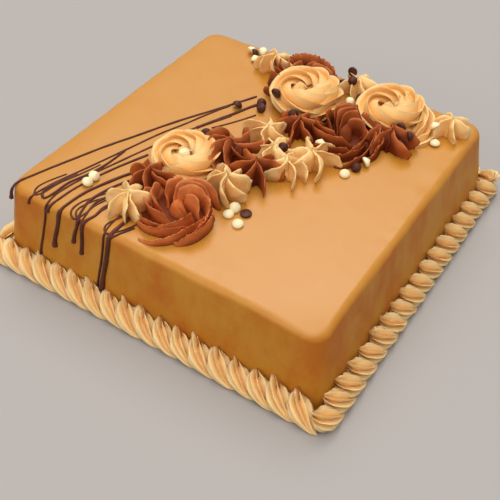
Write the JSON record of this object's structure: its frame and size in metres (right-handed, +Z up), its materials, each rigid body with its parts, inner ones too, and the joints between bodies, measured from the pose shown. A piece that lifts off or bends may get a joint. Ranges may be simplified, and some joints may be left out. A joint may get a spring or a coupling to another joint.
{
  "type": "fudge cake",
  "caption": "Square iced fudge cake with a piped shell border at its foot, thin chocolate drizzle over one edge, and a band of piped rosettes, stars and chips across its top.",
  "frame": {"origin": "centre of the cake's flat underside", "axes": "+Z up; -Y is the wall that the drizzle runs down, +X the wall to its right; the band of toppings runs from the -Y edge to the +Y edge"},
  "size_m": [0.2724, 0.2724, 0.0803],
  "materials": {
    "caramel_icing": "smooth satin caramel icing with faint streaks on the sides",
    "caramel_cream": "soft matte piped caramel cream",
    "chocolate_cream": "soft satin piped chocolate cream",
    "chocolate_drizzle": "glossy dark chocolate drizzle",
    "dark_chocolate": "satin dark chocolate chips",
    "white_chocolate": "satin white chocolate chips"
  },
  "bodies": {
    "root": {"cake": "caramel_icing", "rosette_chocolate_front": "chocolate_cream", "rosette_chocolate_middle": "chocolate_cream", "rosette_chocolate_back": "chocolate_cream", "rosette_caramel_back": "caramel_cream", "rosette_caramel_right": "caramel_cream", "rosette_caramel_left": "caramel_cream", "star_chocolate_left": "chocolate_cream", "star_chocolate_swirl": "chocolate_cream", "star_chocolate_middle": "chocolate_cream", "star_chocolate_back": "chocolate_cream", "star_chocolate_right": "chocolate_cream", "star_caramel_front": "caramel_cream", "star_caramel_near": "caramel_cream", "star_caramel_high": "caramel_cream", "star_caramel_low": "caramel_cream", "star_caramel_middle": "caramel_cream", "star_caramel_right": "caramel_cream", "star_caramel_far": "caramel_cream", "star_caramel_behind": "caramel_cream", "star_caramel_corner": "caramel_cream", "border_right": "caramel_cream", "border_back": "caramel_cream", "border_left": "caramel_cream", "border_front": "caramel_cream"}
  },
  "joints": []
}
